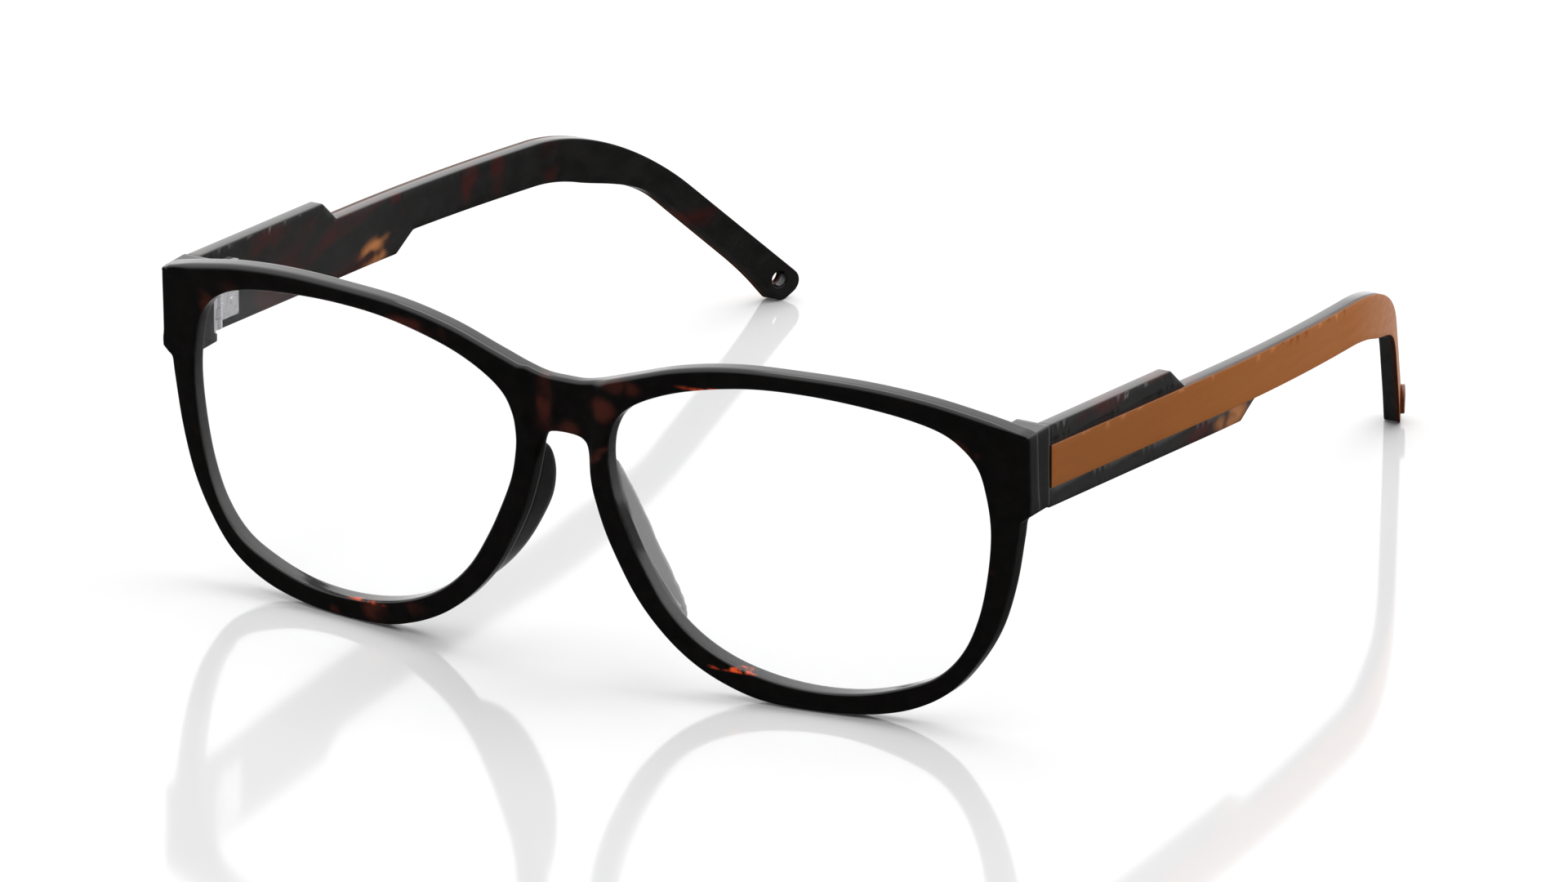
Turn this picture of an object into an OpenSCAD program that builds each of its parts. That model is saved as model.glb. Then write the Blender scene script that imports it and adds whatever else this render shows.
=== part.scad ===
// Smart glasses: a one-piece acetate front with five-barrel hinges, two clear lenses,
// glued nose pads and two slim temples. Each temple is an acetate core whose outer face
// is covered by a long copper-coloured strip; the battery and electronics lie in a
// pocket under that strip, so nothing electrical crosses a hinge.
// Axes: the front faces -Y, the temples run towards +Y, +Z is up, +X is the wearer's left.
// Origin: on the table, on the mirror plane, halfway from the front to the temple tips.

/* [Front] */
// Overall width across the endpieces
front_w = 144; // [141:0.5:148]
// Height of the rims, table to top edge
front_h = 51.6; // [50:0.2:53]
// Thickness of the acetate front
front_t = 3.2; // [3:0.1:4]
// Radius of the front's face-form curve, seen from above
wrap_r = 275; // [230:5:320]
// Forward lean of the front's top edge, degrees
lean = 2.5; // [1:0.1:5]
// Distance from the front's foremost point back to the hinge joint
joint_y = 16.2; // [15.6:0.1:17]

/* [Lenses] */
// Thickness of each lens
lens_t = 2; // [1.6:0.1:2.4]
// Depth of the lens groove in the rim
groove_d = 0.55; // [0.4:0.05:0.8]

/* [Temples] */
// Distance along Y from the joint to the eyelet in the tip
temple_y = 135.4; // [126:0.1:142]
// Width of the slim arm and of the coloured strip
arm_w = 6.6; // [6:0.1:7.2]
// Downward slope of the arm, degrees
arm_slope = 5; // [4:0.1:6]
// Radius of the bend over the ear
bend_r = 42; // [30:1:48]
// Inner radius of the eyelet in each tip
eyelet_r = 1.3; // [1:0.05:1.6]
// Thickness of the acetate core at the wide front section
core_t = 2.1; // [1.9:0.05:2.6]
// Thickness of the coloured strip
strip_t = 0.7; // [0.6:0.05:1]
// How far the strip stands proud of the wide section
strip_proud = 0.45; // [0.3:0.05:0.5]

/* [Hinges] */
// Height of the hinge barrel
barrel_h = 8.4; // [7.6:0.2:9]
// Outer radius of the hinge knuckles
knuckle_r = 1.3; // [1.1:0.05:1.4]
// Radius of the hinge screw's shank
pin_r = 0.57; // [0.5:0.01:0.65]
// Running clearance between screw and knuckle, on the radius
pin_gap = 0.05; // [0.02:0.01:0.1]

/* [Hidden] */
hw = front_w / 2;
kx = front_w / 144;
kz = front_h / 51.6;
mid_z = 30;
face_y = 0.7;
black = [0.07, 0.06, 0.06];
copper = [0.60, 0.36, 0.20];
steel = [0.82, 0.82, 0.84];
clear = [0.80, 0.88, 0.92, 0.35];

// --- outline helpers: smooth curves through a few hand-set points ---
function blend(a, b, c, d, t) = 0.5 * (2 * b + (c - a) * t
    + (2 * a - 5 * b + 4 * c - d) * t * t + (3 * b - a - 3 * c + d) * t * t * t);
function run(p, n) = let (m = len(p) - 1)
    [for (i = [0:m - 1]) for (j = [0:n - 1])
        blend(p[max(i - 1, 0)], p[i], p[i + 1], p[min(i + 2, m)], j / n)];
function loop(p, n) = let (m = len(p))
    [for (i = [0:m - 1]) for (j = [0:n - 1])
        blend(p[(i + m - 1) % m], p[i], p[(i + 1) % m], p[(i + 2) % m], j / n)];
function grow(p, d) = let (m = len(p))
    [for (i = [0:m - 1]) let (t = p[(i + 1) % m] - p[(i + m - 1) % m])
        p[i] + d * [t[1], -t[0]] / norm(t)];
function scaled(p) = [for (q = p) [q[0] * kx, q[1] * kz]];
function flipped(p) = [for (i = [len(p) - 1:-1:0]) [-p[i][0], p[i][1]]];
function from_end(p) = [for (i = [len(p) - 1:-1:0]) p[i]];

// left half of the front's outline, as (x, z): top edge, then side, then rim and nose
top_pts = scaled([[0, 44.9], [3, 45.0], [6.4, 45.8], [11, 47.3], [19, 49.8], [28, 51.3],
    [38, 51.6], [48, 51.3], [57, 50.2], [65, 48.4], [70.6, 46.8]]);
side_pts = scaled([[71.8, 46.2], [72, 45.4], [72.0, 40], [72.0, 34.6], [71.8, 33.9],
    [71.2, 33.4], [70.4, 32.6], [70.0, 30], [68.7, 22.6], [66.6, 15.6], [63.4, 9.8],
    [59.4, 5.2], [53.6, 2.0], [46.4, 0.4], [38.6, 0], [31.6, 0.4], [26.4, 1.8],
    [21.8, 3.9], [17.9, 6.6], [14.4, 10.0], [11.6, 13.6], [9.2, 17.8], [6.9, 22.7],
    [5.3, 27.6], [4.3, 31.8], [3.7, 34.6], [2.9, 35.7], [1.6, 36.1], [0, 36.2]]);
half = concat(run(top_pts, 6), [top_pts[len(top_pts) - 1]], run(side_pts, 6));
outline = concat([for (i = [0:len(half) - 1]) half[i]], [[0, 36.2 * kz]],
    [for (i = [len(half) - 1:-1:1]) [-half[i][0], half[i][1]]]);

// lens opening on the left, as (x, z), anticlockwise
eye_pts = scaled([[7.6, 35], [7.8, 31.8], [8.6, 28], [10.4, 23.4], [12.8, 18.4],
    [16, 13.2], [20.2, 9.0], [25.6, 5.9], [32, 4.0], [39, 3.2], [46, 3.6], [52.6, 5.3],
    [58, 7.8], [61.8, 12.0], [64.2, 17.6], [65.6, 24.2], [66.2, 31], [65.6, 36.8],
    [64.2, 41.2], [60.9, 44.5], [55.8, 46.5], [48, 47.9], [39, 48.6], [30, 48.3],
    [21, 46.6], [14, 44.1], [10, 41.4], [8.2, 38.4]]);
eye = loop(eye_pts, 4);

// --- solids that follow the front's curve and lean ---
// everything behind the curved surface that lies d behind the front face
module behind(d) {
    translate([0, face_y, mid_z])
        rotate([lean, 0, 0])
            translate([0, wrap_r, -60])
                cylinder(r = wrap_r - d, h = 130, $fn = 360);
}

// a flat (x, z) shape made solid along Y
module slab(p, y0, y1) {
    translate([0, y1, 0])
        rotate([90, 0, 0])
            linear_extrude(height = y1 - y0)
                polygon(p);
}

// the layer from d0 to d1 behind the front face, cut to an (x, z) shape
module shell(p, d0, d1) {
    difference() {
        intersection() {
            slab(p, -6, 24);
            behind(d0);
        }
        behind(d1);
    }
}

module both() {
    children();
    mirror([1, 0, 0])
        children();
}

// --- hinge layout, left side ---
axis_x = hw - 4;
axis_y = joint_y + 1.5;
inner_x = hw - 2.4;
hinge_z = 39.2 * kz;
z0 = hinge_z - barrel_h / 2;
pitch = barrel_h / 5;
leaf_t = 0.8;
leaf_end = joint_y + 10;
knuckle_gap = 0.03;

module knuckle(i) {
    translate([axis_x, axis_y, z0 + i * pitch + knuckle_gap])
        cylinder(r = knuckle_r, h = pitch - 2 * knuckle_gap, $fn = 48);
}

module hinge_bore() {
    translate([axis_x, axis_y, z0 - 1])
        cylinder(r = pin_r + pin_gap, h = barrel_h + 2, $fn = 48);
    translate([axis_x, axis_y, z0 + barrel_h - 0.6])
        cylinder(r = 1.02, h = 2, $fn = 48);
}

// --- front frame ---
lug_x = 66.4 * kx;
rivet_r = 0.45;

module front_holes() {
    // seat for the hinge leaf, open towards the nose
    translate([lug_x - 2, joint_y - leaf_t, z0 - 0.05])
        cube([axis_x + knuckle_r + 0.05 - lug_x + 2, leaf_t + 2, barrel_h + 0.1]);
    for (i = [1, 3])
        translate([axis_x, joint_y + 1, z0 + (i + 0.5) * pitch])
            rotate([90, 0, 0])
                cylinder(r = rivet_r + 0.02, h = 5, $fn = 32);
}

module lug() {
    intersection() {
        slab(outline, -6, joint_y);
        behind(0);
        translate([lug_x, 4, 33.6 * kz])
            cube([12, 20, 13.2]);
    }
}

module front_frame() {
    color(black)
        difference() {
            union() {
                shell(outline, 0, front_t);
                both()
                    lug();
            }
            both() {
                slab(eye, -10, joint_y - 0.6);
                shell(grow(eye, groove_d), front_t / 2 - 0.39, front_t / 2 + 0.39);
                front_holes();
            }
        }
}

// --- lenses: a curved pane with a ridge that sits in the rim's groove ---
module lens() {
    color(clear)
        union() {
            shell(grow(eye, -0.04), front_t / 2 - lens_t / 2, front_t / 2 + lens_t / 2);
            shell(grow(eye, groove_d - 0.04), front_t / 2 - 0.35, front_t / 2 + 0.35);
        }
}

module lens_left() {
    lens();
}

module lens_right() {
    mirror([1, 0, 0])
        lens();
}

// --- nose pads: glued on behind the rims, on either side of the nose ---
pad_pts = scaled([[4.5, 32.2], [5.5, 27.8], [7.1, 22.9], [9.4, 18.1], [11.9, 13.9],
    [14.7, 10.5], [17.0, 8.7], [18.3, 8.7], [17.9, 10.2], [15.3, 13.8], [12.3, 18.6],
    [9.9, 23.6], [8.1, 28.4], [7.2, 32.2], [6.2, 33.7], [5.0, 33.7]]);
pad_side = [[2, 7.6], [5.6, 8.6], [8.4, 10], [10.2, 12], [11.2, 15.5], [11.4, 19.5],
    [11.1, 23], [9.4, 27.4], [6.9, 31], [4.6, 33.2], [2, 34.4]];
// how far the lens side of a pad leans in towards the nose, degrees
pad_lean = 18;
pad_x = 12;
pad_y = 4.5;

module nose_pad() {
    color(black)
        intersection() {
            slab(loop(pad_pts, 4), 0, 16);
            translate([pad_x, pad_y, 0])
                rotate([0, 0, pad_lean])
                    slab([for (q = loop(pad_pts, 4)) [(q[0] - pad_x) * cos(pad_lean), q[1]]], -9, 16);
            rotate([90, 0, 90])
                linear_extrude(height = 24)
                    polygon(concat(run(scaled_z(pad_side), 5), [[2, 34.4 * kz]]));
            behind(front_t + 0.02);
        }
}
function scaled_z(p) = [for (q = p) [q[0], q[1] * kz]];

module nose_pad_left() {
    nose_pad();
}

module nose_pad_right() {
    mirror([1, 0, 0])
        nose_pad();
}

// --- hinge leaves, rivets and screws ---
module front_leaf() {
    color(steel)
        difference() {
            union() {
                translate([axis_x - knuckle_r, joint_y - leaf_t, z0])
                    cube([2 * knuckle_r, leaf_t, barrel_h]);
                for (i = [0, 2, 4]) {
                    knuckle(i);
                    translate([axis_x - 1.1, joint_y - 0.1, z0 + i * pitch + knuckle_gap])
                        cube([2.2, 1.6, pitch - 2 * knuckle_gap]);
                }
            }
            hinge_bore();
            for (i = [1, 3])
                translate([axis_x, joint_y + 1, z0 + (i + 0.5) * pitch])
                    rotate([90, 0, 0])
                        cylinder(r = rivet_r + 0.02, h = 5, $fn = 32);
        }
}

module front_rivets() {
    color(steel)
        for (i = [1, 3])
            translate([axis_x, joint_y, z0 + (i + 0.5) * pitch])
                rotate([90, 0, 0])
                    cylinder(r = rivet_r, h = 3.6, $fn = 32);
}

leaf_pts = [[joint_y + 3, z0], [leaf_end, z0 - 0.6], [leaf_end, z0 + barrel_h - 0.6],
    [joint_y + 3, z0 + barrel_h]];

module temple_rivet_set(r, x0, x1) {
    for (q = [[joint_y + 5.4, 2.0], [joint_y + 8.2, 2.0], [joint_y + 6.8, barrel_h - 2.6]])
        translate([x0, q[0], z0 + q[1]])
            rotate([0, 90, 0])
                cylinder(r = r, h = x1 - x0, $fn = 32);
}

module temple_leaf() {
    color(steel)
        difference() {
            union() {
                translate([inner_x - leaf_t, 0, 0])
                    rotate([90, 0, 90])
                        linear_extrude(height = leaf_t)
                            polygon(leaf_pts);
                for (i = [1, 3]) {
                    knuckle(i);
                    translate([axis_x + 0.2, axis_y, z0 + i * pitch + knuckle_gap])
                        cube([inner_x - axis_x - 0.2, 1.7, pitch - 2 * knuckle_gap]);
                }
            }
            hinge_bore();
            temple_rivet_set(rivet_r + 0.02, inner_x - 2, inner_x + 1);
        }
}

module temple_rivets() {
    color(steel)
        temple_rivet_set(rivet_r, inner_x - leaf_t - 0.15, inner_x + 1.2);
}

module hinge_screw() {
    color(steel)
        difference() {
            union() {
                translate([axis_x, axis_y, z0])
                    cylinder(r = pin_r, h = barrel_h - 0.3, $fn = 48);
                translate([axis_x, axis_y, z0 + barrel_h - 0.57])
                    cylinder(r = 0.97, h = 0.5, $fn = 48);
            }
            translate([axis_x - 1.2, axis_y - 0.14, z0 + barrel_h - 0.3])
                cube([2.4, 0.28, 1]);
        }
}

module front_leaf_left() {
    front_leaf();
}

module front_leaf_right() {
    mirror([1, 0, 0])
        front_leaf();
}

module front_rivets_left() {
    front_rivets();
}

module front_rivets_right() {
    mirror([1, 0, 0])
        front_rivets();
}

module temple_leaf_left() {
    temple_leaf();
}

module temple_leaf_right() {
    mirror([1, 0, 0])
        temple_leaf();
}

module temple_rivets_left() {
    temple_rivets();
}

module temple_rivets_right() {
    mirror([1, 0, 0])
        temple_rivets();
}

module hinge_screw_left() {
    hinge_screw();
}

module hinge_screw_right() {
    mirror([1, 0, 0])
        hinge_screw();
}

// --- temple: side view, as (y, z) ---
start_y = joint_y + 0.1;
tip_y = joint_y + temple_y;
tail_dir = 46;
// the end's two rounded corners about the eyelet, as (up across the tail, back along it, r)
top_corner = [0.25, -1.15, 2.2];
low_corner = [-1.25, -2, 1.1];
// low enough for the lower corner to rest on the table
tip_z = low_corner[2] - low_corner[0] * cos(tail_dir) - low_corner[1] * sin(tail_dir);
// the eyelet's height above the tail's centre line
eyelet_w = arm_w / 2 - top_corner[0] - top_corner[2];
arm_z = 39.8 * kz;
// where the straight arm's centre line meets the tail's
bend_y = (arm_z + joint_y * tan(arm_slope) - tip_z - tip_y * tan(tail_dir)
    + eyelet_w / cos(tail_dir)) / (tan(arm_slope) - tan(tail_dir));
bend_z = arm_z - (bend_y - joint_y) * tan(arm_slope);
turn = tail_dir - arm_slope;
bend_len = bend_r * tan(turn / 2);
bend_c = [bend_y - bend_len * cos(arm_slope) - bend_r * sin(arm_slope),
    bend_z + bend_len * sin(arm_slope) - bend_r * cos(arm_slope)];
function arm_mid(y) = arm_z - (y - joint_y) * tan(arm_slope);

// the tail is slimmer than the arm: its lower edge comes up by this much round the bend
tail_slim = 2.65;
function slim(t) = let (u = min(max((t - 0.35) / 0.6, 0), 1)) tail_slim * u * u * (3 - 2 * u);
// the centre line moved up by w, a fraction t of the way round the bend
function bend_point(w, t) = let (a = arm_slope + turn * t)
    bend_c + (bend_r + w + (w < 0 ? slim(t) : 0)) * [sin(a), cos(a)];
// the same on the tail, s before the eyelet
function tail_point(w, s) = [tip_y - s * cos(tail_dir) + (w - eyelet_w) * sin(tail_dir),
    tip_z + s * sin(tail_dir) + (w - eyelet_w) * cos(tail_dir)];
// the lower edge widens a little towards the end, as (s, how much slimmer)
flare = [[7, 2.6], [4.5, 2.5], [2, 2.3], [0, 2.05]];
// the centre line moved up by w: round the bend and down the tail
function bend_edge(w) = concat([for (i = [0:20]) bend_point(w, i / 20)],
    w < 0 ? [for (q = flare) tail_point(w + q[1], q[0])] : []);
function arm_edge(w) = concat([[start_y, arm_mid(start_y) + w / cos(arm_slope)]],
    bend_edge(w));
// the end's outline, g outside it: round one corner, then the other
end_turn = 100;
function corner(c, a, g) = tail_point(eyelet_w + c[0], c[1]) + (c[2] + g) * [sin(a), cos(a)];
function tip_arc(g) = concat(
    [for (i = [0:8]) corner(top_corner, tail_dir + end_turn * i / 8, g)],
    [for (i = [0:6]) corner(low_corner, tail_dir + end_turn + (185 - end_turn) * i / 6, g)]);
function arm_shape(r) = concat(arm_edge(r), tip_arc(0), from_end(arm_edge(-r)));
// a narrow band above the same line, from y0 to a point on the tail
wire_up = 1.1;
function band_side(w, y0, back) = concat([[y0, arm_mid(y0) + w / cos(arm_slope)]],
    [for (i = [0:20]) let (a = arm_slope + turn * i / 20) bend_c + (bend_r + w) * [sin(a), cos(a)]],
    [tail_point(w, back)]);
function band_shape(r, y0, back) = concat(band_side(wire_up + r, y0, back),
    from_end(band_side(wire_up - r, y0, back)));

half_w = arm_w / 2 / cos(arm_slope);
upper_end = joint_y + 39.4;
lower_end = joint_y + 60.8;
// the whole side view: the wide front section's two wings, then the slim arm
temple_shape = concat(
    [[start_y, arm_z + 6.3], [joint_y + 35.4, arm_z + 3.4],
        [upper_end, arm_mid(upper_end) + half_w]],
    bend_edge(arm_w / 2), tip_arc(0), from_end(bend_edge(-arm_w / 2)),
    [[lower_end, arm_mid(lower_end) - half_w], [joint_y + 56.2, arm_z - 11.0],
        [start_y, arm_z - 6.4]]);
// the strip's seat: as tall as the strip between the wings, and past both edges behind them
seat_shape = concat(
    [[start_y - 1, arm_mid(start_y - 1) + half_w],
        [upper_end - 0.1, arm_mid(upper_end - 0.1) + half_w],
        [upper_end - 0.1, arm_mid(upper_end) + half_w + 1.2]],
    bend_edge(arm_w / 2 + 1), tip_arc(1), from_end(bend_edge(-arm_w / 2 - 1)),
    [[lower_end - 0.1, arm_mid(lower_end) - half_w - 1.2],
        [lower_end - 0.1, arm_mid(lower_end - 0.1) - half_w],
        [start_y - 1, arm_mid(start_y - 1) - half_w]]);

// --- temple: plan view of the inner face, as (x, y), straight then curving inwards ---
in_a = 5.5;
in_b = 27;
arc1_y = joint_y + 46;
arc1_r = 430;
arc2_r = 80;
arc1_end = [inner_x - arc1_r * (1 - cos(in_a)), arc1_y + arc1_r * sin(in_a)];
arc2_start = arc1_end + 3.8 * [-sin(in_a), cos(in_a)];
arc2_c = arc2_start - arc2_r * [cos(in_a), sin(in_a)];
arc2_end = arc2_c + arc2_r * [cos(in_b), sin(in_b)];
tail_len = 30;
// inner face moved out by d, square to itself
function plan_edge(d) = concat([[inner_x + d, start_y - 1]],
    [for (i = [0:10]) let (a = in_a * i / 10)
        [inner_x - arc1_r, arc1_y] + (arc1_r + d) * [cos(a), sin(a)]],
    [for (i = [0:14]) let (a = in_a + (in_b - in_a) * i / 14)
        arc2_c + (arc2_r + d) * [cos(a), sin(a)]],
    [arc2_end + d * [cos(in_b), sin(in_b)] + tail_len * [-sin(in_b), cos(in_b)]]);

module plan_layer(d0, d1) {
    translate([0, 0, -8])
        linear_extrude(height = 70)
            polygon(concat(plan_edge(d0), from_end(plan_edge(d1))));
}

module side_solid(p) {
    translate([30, 0, 0])
        rotate([90, 0, 90])
            linear_extrude(height = 60)
                polygon(p);
}

// a (y, z) shape given thickness from d0 to d1 outside the temple's inner face
module temple_piece(p, d0, d1) {
    intersection() {
        side_solid(p);
        plan_layer(d0, d1);
    }
}

// middle of the eyelet on the inner face
eyelet_x = arc2_end[0] - (tip_y - arc2_end[1]) * tan(in_b);

// a cylinder square to the tail, centred on the eyelet, from d0 to d1 outside the inner face
module eyelet_round(r, d0, d1) {
    translate([eyelet_x, tip_y, tip_z])
        rotate([0, 0, in_b])
            rotate([0, 90, 0])
                translate([0, 0, d0])
                    cylinder(r = r, h = d1 - d0, $fn = 48);
}

module eyelet_bore() {
    eyelet_round(eyelet_r, -3, 5);
}

seat_d = core_t + strip_proud - strip_t;
collar_r = 2.4;
collar_h = 0.6;
pocket_y0 = joint_y + 13;
pocket_y1 = joint_y + 58.5;
pocket_d = 0.6;
pocket_w = 2.6;
wire_y0 = joint_y + 62;
wire_back = 10;

function pocket_shape(r, y0, y1) = [[y0, arm_mid(y0) - r], [y1, arm_mid(y1) - r],
    [y1, arm_mid(y1) + r], [y0, arm_mid(y0) + r]];

module temple() {
    color(black)
        difference() {
            temple_piece(temple_shape, 0, core_t);
            temple_piece(seat_shape, seat_d, core_t + 1);
            temple_piece(pocket_shape(pocket_w, pocket_y0, pocket_y1), pocket_d, seat_d + 0.05);
            temple_piece(band_shape(1.05, wire_y0, wire_back - 0.05), seat_d - 0.85, seat_d + 0.05);
            temple_rivet_set(rivet_r + 0.02, inner_x - 1, inner_x + 1.22);
            eyelet_bore();
        }
}

module temple_strip() {
    color(copper)
        difference() {
            union() {
                temple_piece(arm_shape(arm_w / 2), seat_d, seat_d + strip_t);
                // raised collar round the eyelet
                eyelet_round(collar_r, seat_d + strip_t / 2, seat_d + strip_t + collar_h);
            }
            eyelet_bore();
        }
}

module core_wire() {
    color(steel)
        temple_piece(band_shape(1.0, wire_y0 + 0.05, wire_back), seat_d - 0.83, seat_d - 0.05);
}

module temple_left() {
    temple();
}

module temple_right() {
    mirror([1, 0, 0])
        temple();
}

module temple_strip_left() {
    temple_strip();
}

module temple_strip_right() {
    mirror([1, 0, 0])
        temple_strip();
}

module core_wire_left() {
    core_wire();
}

module core_wire_right() {
    mirror([1, 0, 0])
        core_wire();
}

// --- what lies in the pocket, front to back: board, coil, battery ---
floor_d = pocket_d + 0.02;
board_y0 = pocket_y0 + 1;
board_y1 = board_y0 + 13.5;
coil_y = board_y1 + 3.4;
cell_y0 = coil_y + 3.4;
cell_y1 = pocket_y1 - 0.6;

module box_piece(y0, y1, w0, w1, d0, d1) {
    temple_piece([[y0, arm_mid(y0) + w0], [y1, arm_mid(y1) + w0], [y1, arm_mid(y1) + w1],
        [y0, arm_mid(y0) + w1]], d0, d1);
}

module board() {
    color([0.05, 0.25, 0.16])
        box_piece(board_y0, board_y1, -2.4, 1.5, floor_d, floor_d + 0.3);
}

module board_chips() {
    top = floor_d + 0.3;
    color([0.10, 0.10, 0.11]) {
        box_piece(board_y0 + 0.8, board_y0 + 4.4, -1.9, 1.1, top, top + 0.4);
        box_piece(board_y0 + 5.4, board_y0 + 7.8, -1.6, 0.8, top, top + 0.35);
        box_piece(board_y0 + 8.8, board_y0 + 9.8, -1.8, 0.8, top, top + 0.3);
        box_piece(board_y0 + 10.6, board_y0 + 12.6, -1.4, 0.6, top, top + 0.35);
    }
}

module antenna() {
    color(copper)
        box_piece(board_y0, board_y1, 1.8, 2.4, floor_d, floor_d + 0.2);
}

module touch_flex() {
    color([0.70, 0.45, 0.12])
        box_piece(board_y0, board_y1, -2.2, 2.2, seat_d - 0.16, seat_d - 0.04);
}

module charge_coil() {
    color(copper)
        translate([inner_x + floor_d, coil_y, arm_mid(coil_y)])
            rotate([0, 90, 0])
                difference() {
                    cylinder(r = 2.4, h = 0.6, $fn = 48);
                    translate([0, 0, 0.2])
                        cylinder(r = 1.1, h = 1, $fn = 48);
                }
}

module battery() {
    color([0.55, 0.57, 0.60])
        box_piece(cell_y0, cell_y1, -2.35, 2.35, floor_d, seat_d - 0.08);
}

module board_left() {
    board();
}

module board_right() {
    mirror([1, 0, 0])
        board();
}

module board_chips_left() {
    board_chips();
}

module board_chips_right() {
    mirror([1, 0, 0])
        board_chips();
}

module antenna_left() {
    antenna();
}

module antenna_right() {
    mirror([1, 0, 0])
        antenna();
}

module touch_flex_left() {
    touch_flex();
}

module touch_flex_right() {
    mirror([1, 0, 0])
        touch_flex();
}

module charge_coil_left() {
    charge_coil();
}

module charge_coil_right() {
    mirror([1, 0, 0])
        charge_coil();
}

module battery_left() {
    battery();
}

module battery_right() {
    mirror([1, 0, 0])
        battery();
}

// the solids above are drawn from the foremost point of the front: this puts the origin
// at the middle of the whole
module placed() {
    translate([0, -(0.05 + corner(top_corner, 90, 0)[0]) / 2, 0])
        children();
}

placed() front_frame();
placed() lens_left();
placed() lens_right();
placed() nose_pad_left();
placed() nose_pad_right();
placed() front_leaf_left();
placed() front_leaf_right();
placed() front_rivets_left();
placed() front_rivets_right();
placed() hinge_screw_left();
placed() hinge_screw_right();
placed() temple_leaf_left();
placed() temple_leaf_right();
placed() temple_rivets_left();
placed() temple_rivets_right();
placed() temple_left();
placed() temple_right();
placed() temple_strip_left();
placed() temple_strip_right();
placed() core_wire_left();
placed() core_wire_right();
placed() board_left();
placed() board_right();
placed() board_chips_left();
placed() board_chips_right();
placed() antenna_left();
placed() antenna_right();
placed() touch_flex_left();
placed() touch_flex_right();
placed() charge_coil_left();
placed() charge_coil_right();
placed() battery_left();
placed() battery_right();
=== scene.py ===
import math

import bmesh
import bpy
import numpy as np
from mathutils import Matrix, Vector
from mathutils.geometry import delaunay_2d_cdt


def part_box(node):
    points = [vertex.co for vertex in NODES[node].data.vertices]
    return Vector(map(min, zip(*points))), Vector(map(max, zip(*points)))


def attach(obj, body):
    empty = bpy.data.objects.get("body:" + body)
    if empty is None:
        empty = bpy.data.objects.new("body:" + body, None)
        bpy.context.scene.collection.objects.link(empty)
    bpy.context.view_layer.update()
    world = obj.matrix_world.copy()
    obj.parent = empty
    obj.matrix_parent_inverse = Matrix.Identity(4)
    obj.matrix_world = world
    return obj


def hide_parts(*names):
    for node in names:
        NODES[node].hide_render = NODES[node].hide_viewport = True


# Smart glasses: rounded acetate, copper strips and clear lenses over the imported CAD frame,
# with materials on its hinges and electronics. Lengths are in millimetres, measured from the
# front's foremost point as in the CAD source; to_frame() moves them into the frame, in metres.

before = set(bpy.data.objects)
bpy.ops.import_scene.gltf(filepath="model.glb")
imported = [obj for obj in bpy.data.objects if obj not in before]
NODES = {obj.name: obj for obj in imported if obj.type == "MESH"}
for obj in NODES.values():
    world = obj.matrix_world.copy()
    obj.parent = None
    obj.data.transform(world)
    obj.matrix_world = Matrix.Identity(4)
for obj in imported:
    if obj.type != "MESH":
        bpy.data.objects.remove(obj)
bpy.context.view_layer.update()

MM = 0.001

# the hinge screw fixes where the millimetre coordinates lie in the frame
HINGE_Y = 17.7
screw_lo, screw_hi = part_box("hinge_screw_left")
SHIFT_Y = (screw_lo.y + screw_hi.y) / 2 / MM - HINGE_Y

# ---------------------------------------------------------------- dimensions, as in the CAD
FRONT_T = 3.2
WRAP_R = 275.0
LEAN = math.radians(2.5)
FACE_Y = 0.7
MID_Z = 30.0
JOINT_Y = 16.2
LENS_T = 2.0
INNER_X = 69.6
CORE_T = 2.1
STRIP_T = 0.7
STRIP_PROUD = 0.45
SEAT_D = CORE_T + STRIP_PROUD - STRIP_T
TOP_D = CORE_T + STRIP_PROUD
ARM_W = 6.6
ARM_SLOPE = math.radians(5)
ARM_Z = 39.8
START_Y = JOINT_Y + 0.1
TIP_Y = JOINT_Y + 135.4
TAIL_DIR = math.radians(46)
# the end's two rounded corners about the eyelet: up across the tail, back along it, radius
TOP_CORNER = (0.25, -1.15, 2.2)
LOW_CORNER = (-1.25, -2.0, 1.1)
END_TURN = math.radians(100)
TIP_Z = LOW_CORNER[2] - LOW_CORNER[0] * math.cos(TAIL_DIR) - LOW_CORNER[1] * math.sin(TAIL_DIR)
EYELET_W = ARM_W / 2 - TOP_CORNER[0] - TOP_CORNER[2]
BEND_R = 42.0
TAIL_SLIM = 2.65
EYELET_R = 1.3
COLLAR_R = 2.2
COLLAR_H = 0.6
CLEARANCE = 0.03  # the looks stay this far inside the CAD outline
FRONT_BOX = ((-72, 0), (72, 52))  # side to side and height, round the whole front
COARSE, FINE_BRIDGE, FINE_TIP = 1.5, 0.55, 0.6  # how far apart the points inside a face lie

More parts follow.
